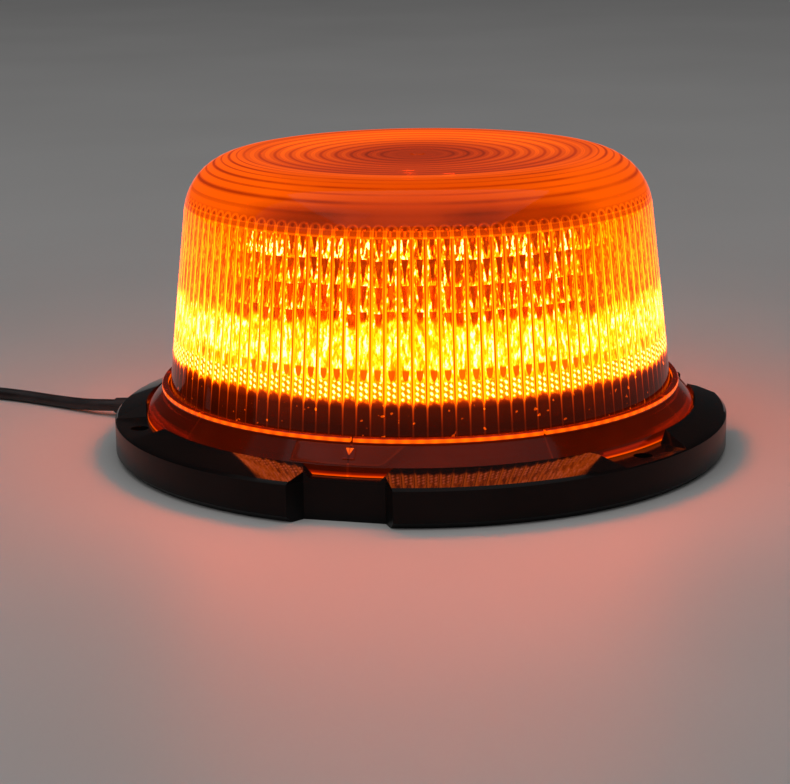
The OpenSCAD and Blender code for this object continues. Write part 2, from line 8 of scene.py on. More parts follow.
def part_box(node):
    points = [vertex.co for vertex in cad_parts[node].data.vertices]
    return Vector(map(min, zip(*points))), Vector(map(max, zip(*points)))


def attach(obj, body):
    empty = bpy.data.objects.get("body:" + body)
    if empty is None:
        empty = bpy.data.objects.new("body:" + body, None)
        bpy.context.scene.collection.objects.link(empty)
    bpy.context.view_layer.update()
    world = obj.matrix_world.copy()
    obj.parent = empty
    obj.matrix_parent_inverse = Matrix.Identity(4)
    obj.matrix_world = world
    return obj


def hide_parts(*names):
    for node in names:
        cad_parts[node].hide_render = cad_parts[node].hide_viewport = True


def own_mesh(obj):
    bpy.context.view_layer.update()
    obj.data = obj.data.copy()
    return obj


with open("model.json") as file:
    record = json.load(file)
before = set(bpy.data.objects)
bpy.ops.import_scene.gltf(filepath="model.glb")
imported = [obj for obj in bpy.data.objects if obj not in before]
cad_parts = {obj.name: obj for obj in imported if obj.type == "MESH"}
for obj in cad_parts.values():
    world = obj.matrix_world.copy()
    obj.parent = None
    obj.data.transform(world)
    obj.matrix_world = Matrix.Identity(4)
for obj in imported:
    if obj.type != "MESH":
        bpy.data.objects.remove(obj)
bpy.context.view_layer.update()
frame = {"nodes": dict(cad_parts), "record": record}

# Sizes are in millimetres, in the frame of the CAD model, and become metres where a mesh is made.
MM = 0.001
BASE_R = 1000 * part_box("base_housing")[1].x
LENS_H = 1000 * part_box("lens")[1].z
PITCH = 3.0                      # degrees from one rib of the lens to the next
LIP_Z = 1000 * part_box("lock_ring")[1].z
NOTCH_ANGLE = -14.0              # the front notch, in degrees anticlockwise from the front
SLOT_PITCH = 40.0                # degrees between the slots in the lip of the lock ring
RING_FOOT, RING_NECK = (80.1, 14.0), (75.5, 19.2)     # radius and height of the ends of the ring's cone
RING_NORMAL = (0.749, 0.663)     # of that cone, outwards and upwards
RIB_FOOT = 21.4                  # the ribs inside the lens wall run up from here
RIB_GROOVE = 73.1                # a cross groove in the ribs, with a row of small cells over it
GROOVE_HALF = 0.35               # half the height of that groove
RIB_ARCH = 74.8                  # where the rounded tops of the ribs begin
RIB_TOP = 76.6
RING_FIRST, RING_LAST, RING_PITCH = 6.0, 63.2, 4.4    # radii of the rings under the crown
RING_H = 0.55
OUTER_MARK = "outer_skin"        # mesh attribute that is 1 on the outer skin of the lens


def at(radius, angle, z):
    """A point at a radius and an angle counted anticlockwise from the front."""
    a = math.radians(angle)
    return (radius * math.sin(a), -radius * math.cos(a), z)


# ---------------------------------------------------------------- camera
# Fitted to the outline of the base and the lens in the photograph
CAMERA_PLACE = (0, -7.386, 1.979)                             # in radii of the base
CAMERA_PAN, CAMERA_PITCH, CAMERA_ROLL = -0.0112, 0.2404, 0.0138       # radians; the pitch is downwards
FOCAL_LENGTH, SENSOR_WIDTH = 105.2, 36.0


def make_camera():
    """The camera of the photograph."""
    level = math.cos(CAMERA_PITCH)
    ahead = Vector((math.sin(CAMERA_PAN) * level, math.cos(CAMERA_PAN) * level, -math.sin(CAMERA_PITCH)))
    right = ahead.cross(Vector((0, 0, 1))).normalized()
    up = right.cross(ahead)
    x = math.cos(CAMERA_ROLL) * right - math.sin(CAMERA_ROLL) * up
    y = math.sin(CAMERA_ROLL) * right + math.cos(CAMERA_ROLL) * up
    data = bpy.data.cameras.new("camera")
    data.sensor_width = SENSOR_WIDTH
    data.lens = FOCAL_LENGTH
    camera = bpy.data.objects.new("camera", data)
    turn = Matrix((x, y, -ahead)).transposed().to_4x4()
    camera.matrix_world = Matrix.Translation(Vector(CAMERA_PLACE) * BASE_R * MM) @ turn
    bpy.context.scene.collection.objects.link(camera)
    bpy.context.scene.camera = camera


make_camera()


# ---------------------------------------------------------------- outline of the lens
LENS_R = 73.4                    # outer radius level with the lip of the lock ring
DRAFT = math.radians(6.34)       # lean of the wall
SHOULDER = 17.0                  # radius of the arc that rounds the shoulder and the rim over it
DISH = 0.9                       # depth of the dish in the top
FOOT_R, FOOT_Z, FOOT_TOP = 75.2, 14.4, 16.8           # the flange at the foot
WALL_T = 3.0                     # thickness of the wall under the ribs
SKIN_T = 1.9                     # thickness between ribs
CROWN_T = SKIN_T + 0.3           # thickness of the top between its rings
RIB_H = 1.15
RIBS = round(360 / PITCH)
PER_RIB = 8                      # points across a rib, and round a smooth circle
PER_CIRCLE = 240
GATE = [(2.3, 0.0), (1.9, 0.35), (0.8, 0.35)]         # radii and depths of the moulding gate's mark
GATE_TIP = 0.15


def wall_radius(z):
    """Outer radius of the straight wall at a height."""
    return LENS_R + (LIP_Z - z) * math.tan(DRAFT)


ARC_Z = LENS_H - SHOULDER
ARC_R = wall_radius(ARC_Z) - SHOULDER / math.cos(DRAFT)
# The dish is part of a sphere that touches the arc of the rim
DISH_R = (ARC_R ** 2 + (SHOULDER - DISH) ** 2 - SHOULDER ** 2) / (2 * DISH)
DISH_Z = LENS_H - DISH + DISH_R
DISH_EDGE = DISH_R * math.sin(math.atan2(ARC_R, DISH_Z - ARC_Z))


def on_wall(z):
    """Point and outward normal of the outer surface at a height, on the wall or on the shoulder."""
    a = math.asin(max(-1.0, min(1.0, (z - ARC_Z) / SHOULDER)))
    if a > DRAFT:
        return (ARC_R + SHOULDER * math.cos(a), z), (math.cos(a), math.sin(a))
    return (wall_radius(z), z), (math.cos(DRAFT), math.sin(DRAFT))


def on_top(radius):
    """The same at a radius, on the rim or in the dish."""
    if radius > DISH_EDGE:
        a = math.acos((radius - ARC_R) / SHOULDER)
        return (radius, ARC_Z + SHOULDER * math.sin(a)), (math.cos(a), math.sin(a))
    rise = math.sqrt(DISH_R * DISH_R - radius * radius)
    return (radius, DISH_Z - rise), (-radius / DISH_R, rise / DISH_R)


# ---------------------------------------------------------------- shader helpers
class Num:
    """A number in a shader. Arithmetic with it makes math nodes."""

    def __init__(self, tree, socket):
        self.tree, self.socket = tree, socket

    def op(self, operation, *others):
        """The result of a math node on this number and the others, which may be plain numbers."""
        node = self.tree.nodes.new("ShaderNodeMath")
        node.operation = operation
        for i, value in enumerate((self, *others)):
            if isinstance(value, Num):
                self.tree.links.new(value.socket, node.inputs[i])
            else:
                node.inputs[i].default_value = value
        return Num(self.tree, node.outputs[0])

    def __add__(self, other):
        return self.op("ADD", other)

    def __sub__(self, other):
        return self.op("SUBTRACT", other)

    def __mul__(self, other):
        return self.op("MULTIPLY", other)

    def __truediv__(self, other):
        return self.op("DIVIDE", other)

    def __rsub__(self, other):
        return self * -1.0 + other

    def ramp(self, low, high):
        """0 at low and 1 at high, with a smooth step between; low may be above high."""
        node = self.tree.nodes.new("ShaderNodeMapRange")
        node.interpolation_type = "SMOOTHSTEP"
        flip = low > high
        node.inputs["From Min"].default_value = min(low, high)
        node.inputs["From Max"].default_value = max(low, high)
        node.inputs["To Min"].default_value = 1.0 if flip else 0.0
        node.inputs["To Max"].default_value = 0.0 if flip else 1.0
        self.tree.links.new(self.socket, node.inputs["Value"])
        return Num(self.tree, node.outputs[0])

    def between(self, low, high, soft):
        """1 between low and high, with soft edges."""
        return self.ramp(low - soft, low + soft) * self.ramp(high + soft, high - soft)


class Paint:
    """A material with one Principled shader, and the coordinates that its pattern needs."""

    def __init__(self, name):
        self.material = bpy.data.materials.new(name)
        self.material.use_nodes = True
        self.tree = self.material.node_tree
        self.shader = self.tree.nodes["Principled BSDF"]
        self.coords = self.tree.nodes.new("ShaderNodeTexCoord")
        parts = self.tree.nodes.new("ShaderNodeSeparateXYZ")
        self.tree.links.new(self.coords.outputs["Object"], parts.inputs[0])
        self.x, self.y, self.z = (Num(self.tree, s) * 1000.0 for s in parts.outputs)

    def set(self, **values):
        """Sets constants on the shader's own sockets; an underscore in a name is a space."""
        for name, value in values.items():
            socket = self.shader.inputs[name.replace("_", " ")]
            is_colour = hasattr(socket.default_value, "__len__")
            socket.default_value = (*value, 1.0) if is_colour else value

    def link(self, value, name):
        """Links a number or a colour to one of the shader's sockets."""
        self.tree.links.new(value.socket if isinstance(value, Num) else value, self.shader.inputs[name])

    def angle(self):
        """Degrees anticlockwise from the front."""
        return self.x.op("ARCTAN2", self.y * -1.0) * (180 / math.pi)

    def radius(self):
        """Distance from the axis of the beacon."""
        return (self.x * self.x + self.y * self.y).op("SQRT")

    def vector(self, x, y, z):
        """A vector of three numbers, which may be plain ones."""
        node = self.tree.nodes.new("ShaderNodeCombineXYZ")
        for i, value in enumerate((x, y, z)):
            if isinstance(value, Num):
                self.tree.links.new(value.socket, node.inputs[i])
            else:
                node.inputs[i].default_value = value
        return node.outputs[0]

    def noise(self, scale, detail=2.0, vector=None):
        """Noise from 0 to 1, with features of about 1000 / scale mm, or 1 / scale in a vector's own unit."""
        node = self.tree.nodes.new("ShaderNodeTexNoise")
        node.inputs["Scale"].default_value = scale
        node.inputs["Detail"].default_value = detail
        self.tree.links.new(vector or self.coords.outputs["Object"], node.inputs["Vector"])
        return Num(self.tree, node.outputs[0])

    def facing(self):
        """0 where a surface is seen square on, rising to 1 at a grazing angle."""
        node = self.tree.nodes.new("ShaderNodeLayerWeight")
        return Num(self.tree, node.outputs["Facing"])

    def outside(self):
        """1 on a face seen from outside that the mesh marks as its outer skin, and 0 on every other."""
        mark = self.tree.nodes.new("ShaderNodeAttribute")
        mark.attribute_name = OUTER_MARK
        side = self.tree.nodes.new("ShaderNodeNewGeometry")
        return Num(self.tree, mark.outputs["Fac"]) * (1 - Num(self.tree, side.outputs["Backfacing"]))

    def random(self, value, seed=0.0):
        """A number from 0 to 1 that is the same wherever the value is."""
        node = self.tree.nodes.new("ShaderNodeTexWhiteNoise")
        node.noise_dimensions = "2D"
        self.tree.links.new(self.vector(value, seed, 0.0), node.inputs["Vector"])
        return Num(self.tree, node.outputs["Value"])

    def colours(self, value, stops):
        """A colour ramp over value; stops are (place, (r, g, b))."""
        node = self.tree.nodes.new("ShaderNodeValToRGB")
        ramp = node.color_ramp
        while len(ramp.elements) < len(stops):
            ramp.elements.new(0.5)
        for element, (place, colour) in zip(ramp.elements, stops):
            element.position = place
            element.color = (*colour, 1.0)
        self.tree.links.new(value.socket, node.inputs[0])
        return node.outputs[0]

    def glow(self, value):
        """Emission in the amber of the lamp, for a value from 0 to 1."""
        stops = [(place, tint(colour, 1 / GLOW_STRENGTH)) for place, colour in GLOW]
        self.set(Emission_Strength=GLOW_STRENGTH)
        self.link(self.colours(value, stops), "Emission Color")

    def bump(self, height, strength, distance_mm):
        """Relief as deep as the distance where the height is 1."""
        node = self.tree.nodes.new("ShaderNodeBump")
        node.inputs["Strength"].default_value = strength
        node.inputs["Distance"].default_value = distance_mm * MM
        self.tree.links.new(height.socket, node.inputs["Height"])
        self.link(node.outputs[0], "Normal")


def tint(colour, share):
    """A colour made brighter or darker."""
    return tuple(min(1.0, c * share) for c in colour)


def moulded(name, colour, rough, grain=900.0, bump=0.25, wear=1.5):
    """Moulded plastic: fine grain, slow changes of gloss and, up to the share of wear, of shade."""
    p = Paint(name)
    spread = 0.08                                                # of the roughness
    slow = p.noise(60.0, 3.0)
    fine = p.noise(grain, 2.0)
    p.link(p.colours(slow, [(0.3, tint(colour, 0.85)), (0.7, tint(colour, wear))]), "Base Color")
    p.link((slow + fine * 0.5) * spread + (rough - 0.75 * spread), "Roughness")
    p.bump(fine, bump, 0.05)
    return p.material


def rubber(name, colour, rough, grain=1400.0):
    """Matt rubber with a little dust on it."""
    p = Paint(name)
    dust = p.noise(140.0, 4.0)
    fine = p.noise(grain, 3.0)
    p.link(p.colours(dust, [(0.35, colour), (0.75, tint(colour, 2.2))]), "Base Color")
    p.link(dust * 0.15 + (rough - 0.07), "Roughness")
    p.set(Specular_IOR_Level=0.35)
    p.bump(fine, 0.4, 0.06)
    return p.material


def metal(name, colour, rough, per_mm):
    """Metal with fine tool marks; per_mm is how many there are in a millimetre along each axis."""
    p = Paint(name)
    marks = p.noise(1.0, 3.0, p.vector(p.x * per_mm[0], p.y * per_mm[1], p.z * per_mm[2]))
    slow = p.noise(90.0, 2.0)
    p.set(Metallic=1.0)
    p.link(p.colours(slow, [(0.3, tint(colour, 0.8)), (0.7, colour)]), "Base Color")
    p.link(marks * 0.2 + (rough - 0.1), "Roughness")
    p.bump(marks, 0.1, 0.03)
    return p.material


# ---------------------------------------------------------------- amber glow
# Radiance of the lit plastic. It stays amber when it is bright enough to look yellow or white directly.
GLOW = [
    (0.0, (0.0, 0.0, 0.0)),
    (0.1, (0.02, 0.0015, 0.0)),
    (0.2, (0.08, 0.005, 0.0)),
    (0.3, (0.25, 0.013, 0.0)),
    (0.4, (0.5, 0.034, 0.0)),
    (0.5, (0.85, 0.085, 0.0)),
    (0.6, (1.8, 0.18, 0.0)),
    (0.7, (4.0, 0.37, 0.001)),
    (0.8, (7.5, 0.74, 0.002)),
    (0.88, (10.0, 1.1, 0.01)),
    (0.95, (12.0, 1.5, 0.12)),
    (1.0, (14.0, 2.0, 0.8)),
]
GLOW_STRENGTH = 14.0             # the highest radiance, so that the colours linked to the shader stay under 1
# Heights at which the zones of light on the lens wall begin
BEAD_LIGHT = 29.9                # rows of beads, over the dark foot
SPOT_LIGHT = 35.2                # the lit band, which starts with one dark spot in each rib
BAND_LIGHT = 38.3                # the plain part of the band, over the spots
UPPER_LIGHT = 53.4               # dark wedges between bright strokes
SPARK_LIGHT = 67.2               # a row of sparks over them
CELL_LIGHT = 72.8                # small cells under the rounded tops of the ribs
LED_MID = 43.0                   # the middle row of LEDs
WEDGE_ROW = 6.9                  # height from one row of wedges to the next
WEDGE_ROWS = 4
# Radii at which the rim of the top begins and ends
RIM_LIGHT, RIM_END = 50.0, 65.4


def mix(a, b, share):
    """a where share is 0 and b where it is 1."""
    return share * (b - a) + a


class RibLight:
    """The light that a rib of the lens wall shows, by the place across the rib and the height.

    Each method gives a value for Paint.glow.
    """

    def __init__(self, p):
        self.p, self.z = p, p.z
        cell = p.angle() / PITCH + 200.5                             # 200 keeps it above 0
        number = cell.op("FLOOR")
        self.side = cell.op("FRACT") * 2.0 - 1.0                     # -1 and 1 at a rib's edges
        self.across = self.side.op("ABSOLUTE")
        self.chance, self.chance_2 = p.random(number), p.random(number, 7.0)
        self.front = p.facing().ramp(0.5, 0.12)                      # 1 where the wall is seen square on
        # Long thin images of the LEDs in each rib, and small ones
        lean = self.side * 1.9 + (self.chance_2 - 0.5) * self.z * 0.16 + self.chance * 40.0
        long = p.vector(lean, self.z * 0.2, self.chance_2 * 9.0)
        small = p.vector(self.side * 2.8 + self.chance_2 * 30.0, self.z * 0.62, self.chance * 5.0)
        self.streak = p.noise(1.0, 2.0, long).ramp(0.4, 0.6)
        self.grain = p.noise(1.0, 2.0, small).ramp(0.44, 0.62)
        # 0 at the foot of a row of wedges and 1 at its top
        rows = (self.z - (SPARK_LIGHT - WEDGE_ROWS * WEDGE_ROW)) / WEDGE_ROW
        self.in_row = (rows + (self.chance - 0.5) * 0.16).op("FRACT")

    def foot(self):
        """The dark foot of the wall, where only the ridges and a few specks are lit."""
        speck = self.p.noise(600.0, 1.0).ramp(0.71, 0.74)
        ridge = (self.across + self.z.ramp(27.0, 31.0) * 0.12).ramp(0.8, 0.96)
        light = ridge * (self.z.ramp(22.0, BEAD_LIGHT) * 0.18 + 0.1) + speck * 0.3 + self.chance * 0.04 + 0.1
        return light + self.z.ramp(22.0, 30.0) * 0.08 + self.z.ramp(27.6, 29.8) * 0.1

    def beads(self):
        """Slanting rows of beads."""
        column = (self.side * (2 * math.pi * 1.3)).op("COSINE") * -0.5 + 0.5
        row = ((self.z / 1.6 + self.side * 0.6 + self.chance) * (2 * math.pi)).op("COSINE") * 0.5 + 0.5
        return (column * 0.5 + row * 0.5).ramp(0.4, 0.85) * 0.34 + self.grain * 0.1 + 0.65

    def band(self):
        """The lit band, with its hottest part level with the middle row of LEDs and dark spots at its foot."""
        heat = (self.z - LED_MID).op("ABSOLUTE").ramp(9.0, 1.0)
        light = self.streak * 0.2 + heat * 0.12 + self.grain * 0.14 + self.chance * 0.04 + 0.61
        under = (BAND_LIGHT - self.z) / (BAND_LIGHT - SPOT_LIGHT)
        spot = (self.across * self.across * 3.4 + under * under).ramp(1.0, 0.65) * under.ramp(-0.12, 0.1)
        return mix(light, self.chance * 0.1 + 0.48, spot * (self.front * 0.6 + 0.3))

    def upper(self):
        """Bright strokes with dark wedges between that narrow downwards; only streaks show at a slant."""
        bent = self.side - (self.chance_2 - 0.5) * (self.in_row * -0.5 + 0.9)
        wedge = (bent.op("ABSOLUTE") - self.in_row * (self.chance * 0.22 + 0.46)).ramp(0.12, -0.06)
        wedge = wedge * self.in_row.ramp(0.03, 0.2)
        strokes = self.streak * 0.3 + self.grain * 0.3 + 0.44
        square = mix(strokes, self.chance * 0.1 + self.grain * 0.06 + 0.32, wedge)
        sparks = (self.grain * 0.2 + 0.08) * self.z.ramp(SPARK_LIGHT - 0.4, SPARK_LIGHT + 0.4)
        square = square + sparks * (1 - self.chance_2.ramp(0.3, 0.5))
        slanting = self.streak * 0.12 + self.grain * 0.14 + 0.5 - self.z.ramp(60.0, 80.0) * 0.04
        return mix(slanting, square, self.front)

    def tops(self):
        """A row of small cells, and the lit outlines of the rounded tops over it with a dark dot in each."""
        rise = (self.z - RIB_ARCH).op("MAXIMUM", 0.0) / (RIB_TOP - RIB_ARCH)
        arch = (self.across * self.across + rise * rise).op("SQRT")
        dot = (self.across * self.across + (rise - 0.35) * (rise - 0.35)).ramp(0.13, 0.04)
        dot = dot * self.z.ramp(RIB_ARCH, RIB_ARCH + 0.2)
        light = arch.between(0.7, 0.98, 0.06) * 0.2 + 0.44 - dot * 0.22 - arch.ramp(0.98, 1.06) * 0.12
        line = self.z.between(RIB_ARCH - 0.2, RIB_ARCH + 0.2, 0.12)
        return light + line * 0.1 + self.z.ramp(73.6, 73.0) * 0.16

    def wall(self):
        """All of them, one over the other, with the lit ridges between the ribs and a dark seam by each."""
        z, across = self.z, self.across
        ragged = z + self.chance * 3.5 + (1 - self.in_row) * -3.0
        light = mix(self.band(), self.upper(), ragged.ramp(UPPER_LIGHT - 4.0, UPPER_LIGHT - 1.0))
        light = mix(light, self.beads(), z.ramp(SPOT_LIGHT + 0.3, SPOT_LIGHT - 0.3))
        ridge = z.ramp(73.0, 42.0) * 0.16 + (1 - self.front) * 0.14 + 0.63
        light = mix(light, ridge, across.ramp(0.66, 0.74))
        light = light - self.side.ramp(0.76, 0.84) * (z.ramp(75.0, 50.0) * 0.08 + 0.2)
        light = mix(light, self.tops(), z.ramp(CELL_LIGHT - 0.25, CELL_LIGHT + 0.25))
        scalloped = z - self.chance + across * across * 0.8
        return mix(self.foot(), light, scalloped.ramp(BEAD_LIGHT - 1.2, BEAD_LIGHT + 0.8))


def crown_light(p, radius):
    """The light of the top: rings in its dish, and a rim with fine dark lines in patches."""
    turn = (radius - RING_FIRST) / RING_PITCH * (2 * math.pi)
    lines = (turn.op("COSINE") * 0.5 + 0.5).ramp(0.75, 1.0) + (turn * 2.0).op("COSINE").ramp(0.6, 1.0) * 0.3
    bright = (turn.op("COSINE") * -0.5 + 0.5).ramp(0.7, 1.0)
    slow = p.noise(18.0, 2.0)
    tilt = p.facing().ramp(0.9, 0.84)                                # 1 where the dish leans towards the eye
    dish = tilt * radius.ramp(8.0, 36.0) * 0.2 + slow * 0.08 + 0.3
    dish = dish - (lines * 0.06 - bright * 0.05) * radius.ramp(4.0, 14.0)
    # 1 where the shoulder turns away from the eye
    limb = (p.facing() - radius.ramp(64.0, RIM_LIGHT) * 0.5).ramp(0.1, 0.42)
    fine = ((radius - RIM_LIGHT) * (4 * math.pi / RING_PITCH)).op("COSINE").ramp(0.4, 1.0)
    patchy = p.noise(30.0, 3.0).ramp(0.3, 0.7)
    rim = limb * 0.12 + 0.38 + slow * 0.04
    rim = rim - (lines * 0.07 + fine * 0.08) * radius.between(RIM_LIGHT, RIM_END, 1.0) * (patchy * 0.8 + 0.2)
    rim = rim - radius.ramp(RIM_END - 2.0, RIM_END) * (1 - limb) * (patchy * 0.1 + 0.06)
    return mix(dish, rim, radius.ramp(RIM_LIGHT - 4.0, RIM_LIGHT + 3.0))


def lens_paint():
    """Amber polycarbonate that carries the light of the LEDs."""
    p = Paint("amber_lens")
    radius = p.radius()
    on_crown = p.z.ramp(RIB_TOP - 0.1, RIB_TOP + 0.4).op("MAXIMUM", radius.ramp(68.0, 66.0))
    p.glow(mix(RibLight(p).wall(), crown_light(p, radius), on_crown) * p.outside())
    # Painted shade: the base colour is much darker on the foot of the wall, which the light of the LEDs
    # doesn't reach
    lit_over_foot = p.z.ramp(BEAD_LIGHT - 1.5, BEAD_LIGHT + 1.0)
    p.link(p.colours(lit_over_foot, [(0.0, (0.1, 0.008, 0.0)), (1.0, (0.5, 0.07, 0.002))]), "Base Color")
    p.set(Transmission_Weight=0.7, IOR=1.25, Roughness=0.06, Specular_IOR_Level=0.15)
    p.bump(p.noise(500.0, 2.0), 0.05, 0.05)
    return p.material


def ring_paint():
    """Deep amber plastic, lit from the lens at its lip and its foot, and on the panels and nibs."""
    p = Paint("amber_ring")
    slow = p.noise(40.0, 3.0)
    angle = p.angle()
    dashes = (angle * (2 * math.pi / PITCH)).op("COSINE") * 0.5 + 0.5          # one from each rib
    lip = p.z.between(LIP_Z - 1.3, LIP_Z - 0.2, 0.15)
    foot = p.z.ramp(12.2, 11.6)
    # Height over the cone, where the panels and the nibs stand proud
    proud = (p.radius() - RING_FOOT[0]) * RING_NORMAL[0] + (p.z - RING_FOOT[1]) * RING_NORMAL[1]
    # Degrees from the nearest slot of the lip, with a nib and a seam under it
    to_slot = (((angle - NOTCH_ANGLE) / SLOT_PITCH + 20.5).op("FRACT") - 0.5).op("ABSOLUTE") * SLOT_PITCH
    taper = to_slot - (p.z - 16.7) * 0.48
    nib = proud.ramp(0.42, 0.6) * taper.ramp(0.12, -0.12) * p.z.between(16.8, 19.4, 0.2)
    seam = to_slot.ramp(0.3, 0.12) * p.z.ramp(20.0, 19.0)
    panel = proud.between(0.1, 0.24, 0.04) * 0.08 + proud.ramp(0.2, 0.3) * (0.04 - seam * 0.14)
    light = lip * (dashes * 0.08 + 0.36) + foot * 0.36 + slow * 0.1
    p.glow(light + nib * (slow * 0.2 + 0.3) + seam * 0.06 + panel + 0.06)
    p.link(p.colours(slow, [(0.3, (0.1, 0.006, 0.0003)), (0.7, (0.16, 0.012, 0.0006))]), "Base Color")
    p.set(Transmission_Weight=0.6, IOR=1.25, Specular_IOR_Level=0.15)
    p.link(slow * 0.1 + 0.05, "Roughness")
    p.bump(p.noise(700.0, 2.0), 0.05, 0.05)
    return p.material


def led_paint():
    """Phosphor of the LEDs. Those under the crown are dimmer than those round the core."""
    p = Paint("led_phosphor")
    warm = p.noise(400.0, 1.0) * p.z.ramp(70.0, 66.0)
    stops = [(0.0, (0.05, 0.01, 0.001)), (0.3, (1.0, 0.28, 0.02)), (0.7, (1.0, 0.36, 0.05))]
    p.link(p.colours(warm, stops), "Emission Color")
    p.set(Emission_Strength=8.0, Base_Color=(1.0, 0.6, 0.15), Roughness=0.3)
    return p.material


def clear_paint(name, colour, glow=None):
    """Clear plastic or glass; glow is the colour of the light in it."""
    p = Paint(name)
    p.link(p.colours(p.noise(60.0, 2.0), [(0.3, tint(colour, 0.92)), (0.7, colour)]), "Base Color")
    p.set(Transmission_Weight=1.0, IOR=1.49)
    p.link(p.noise(300.0, 2.0) * 0.06 + 0.04, "Roughness")
    if glow:
        p.set(Emission_Color=glow, Emission_Strength=0.8)
    return p.material


def board_paint(name, colour, trace):
    """Circuit board: solder mask with faint tracks under it."""
    p = Paint(name)
    lanes = ((p.x + p.noise(30.0, 1.0) * 6.0) * 1.6).op("SINE").ramp(0.5, 0.8)
    p.link(p.colours(lanes * 0.6 + p.noise(200.0, 2.0) * 0.3, [(0.2, colour), (0.8, trace)]), "Base Color")
    p.link(p.noise(120.0, 2.0) * 0.1 + 0.3, "Roughness")
    p.bump(lanes, 0.3, 0.04)
    return p.material


def strap_paint():
    """Hook and loop strap: a fuzzy weave."""
    p = Paint("strap_weave")
    warp = (p.x * 9.0).op("SINE") * (p.z * 9.0).op("SINE")
    fuzz = p.noise(2500.0, 4.0)
    stops = [(0.3, (0.012, 0.012, 0.014)), (0.8, (0.06, 0.06, 0.065))]
    p.link(p.colours(warp * 0.3 + fuzz, stops), "Base Color")
    p.set(Roughness=0.85, Sheen_Weight=0.4)
    p.bump(warp * 0.5 + fuzz, 0.7, 0.15)
    return p.material


def base_paint():
    """Black moulded flange: glossy on top, with a finer grain on its rim."""
    p = Paint("base_moulding")
    slow = p.noise(45.0, 3.0)
    fine = p.noise(1300.0, 2.0)
    p.link(p.colours(slow, [(0.3, (0.004, 0.004, 0.004)), (0.75, (0.008, 0.007, 0.007))]), "Base Color")
    p.set(Specular_IOR_Level=0.1)
    rim = p.z.ramp(11.2, 10.4)
    p.link(rim * 0.25 + slow * 0.03 + 0.03, "Roughness")
    p.bump(fine * (rim * 0.95 + 0.05), 0.2, 0.05)
    return p.material


def make_paints():
    """One finish for each material slot of the record."""
    return {
        "base_black": base_paint(),
        "plate_black": moulded("plate_moulding", (0.022, 0.022, 0.024), 0.5),
        "zinc_screw": metal("zinc", (0.62, 0.63, 0.66), 0.3, (3.0, 3.0, 3.0)),
        "gasket_rubber": rubber("gasket", (0.014, 0.014, 0.014), 0.7),
        "cup_steel": metal("cup_plating", (0.66, 0.67, 0.7), 0.22, (1.0, 1.0, 9.0)),
        "magnet_nickel": metal("magnet_plating", (0.6, 0.6, 0.62), 0.35, (0.7, 0.7, 0.7)),
        "lens_amber": lens_paint(),
        "seal_rubber": rubber("seal", (0.02, 0.02, 0.02), 0.5),
        "ring_amber": ring_paint(),
        "core_aluminium": metal("extrusion", (0.78, 0.79, 0.81), 0.35, (6.0, 6.0, 0.3)),
        "cap_white": moulded("reflector_white", (0.8, 0.8, 0.78), 0.25, wear=1.1),
        "board_white": board_paint("white_board", (0.8, 0.8, 0.78), (0.68, 0.68, 0.66)),
        "led_yellow": led_paint(),
        "optic_clear": clear_paint("clear_optic", (1.0, 0.97, 0.9), glow=(0.4, 0.08, 0.004)),
        "board_green": board_paint("green_board", (0.012, 0.06, 0.025), (0.03, 0.13, 0.06)),
        "standoff_brass": metal("brass", (0.8, 0.58, 0.24), 0.25, (1.0, 1.0, 6.0)),
        "capacitor_sleeve": moulded("sleeve", (0.02, 0.03, 0.07), 0.25),
        "choke_copper": metal("enamelled_wire", (0.6, 0.24, 0.07), 0.3, (3.0, 3.0, 0.4)),
        "chip_black": moulded("chip", (0.02, 0.02, 0.02), 0.55),
        "terminal_green": moulded("terminal", (0.02, 0.2, 0.07), 0.35),
        "boot_rubber": rubber("boot", (0.016, 0.016, 0.017), 0.5),
        "cable_black": rubber("sheath", (0.013, 0.013, 0.014), 0.38, 2200.0),
        "tie_black": strap_paint(),
        "plug_black": moulded("plug_shell", (0.018, 0.018, 0.02), 0.48, 1600.0, 0.5),
        "nose_black": moulded("plug_nose", (0.012, 0.012, 0.014), 0.25),
        "contact_nickel": metal("contact_plating", (0.72, 0.71, 0.69), 0.18, (2.0, 0.4, 2.0)),
        "spring_steel": metal("spring_wire", (0.6, 0.6, 0.62), 0.3, (2.0, 2.0, 2.0)),
        "fuse_glass": clear_paint("fuse_tube", (0.95, 0.97, 1.0)),
        "button_red": moulded("red_button", (0.5, 0.02, 0.015), 0.3, wear=1.2),
        "button_grey": moulded("grey_button", (0.1, 0.1, 0.11), 0.4, wear=1.3),
        "indicator_red": clear_paint("light_pipe", (1.0, 0.1, 0.05), glow=(1.0, 0.03, 0.01)),
    }


paints = make_paints()
slots = {part["node"]: part["material_slot"] for part in frame["record"]["subparts"]}


def finish_with(piece, slot):
    """Gives a piece the finish of a material slot."""
    piece.data.materials.clear()
    piece.data.materials.append(paints[slot])


for node, piece in frame["nodes"].items():
    finish_with(piece, slots[node])


# ---------------------------------------------------------------- mesh helpers
def add_piece(data, name, body, slot, replaced=()):
    """Puts a mesh or curve into the scene on a body, with the finish of a material slot."""
    piece = bpy.data.objects.new(name, data)
    bpy.context.scene.collection.objects.link(piece)
    finish_with(piece, slot)
    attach(piece, body)
    if replaced:
        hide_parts(*replaced)
    return piece


def add_mesh(name, points, faces, body, slot, replaced=(), smooth_deg=40):
    """The same from points in millimetres and faces, smooth over edges below an angle."""
    data = bpy.data.meshes.new(name)
    data.from_pydata([[MM * c for c in p] for p in points], [], faces)
    data.validate()
    data.polygons.foreach_set("use_smooth", [True] * len(data.polygons))
    data.set_sharp_from_angle(angle=math.radians(smooth_deg))
    return add_piece(data, name, body, slot, replaced)


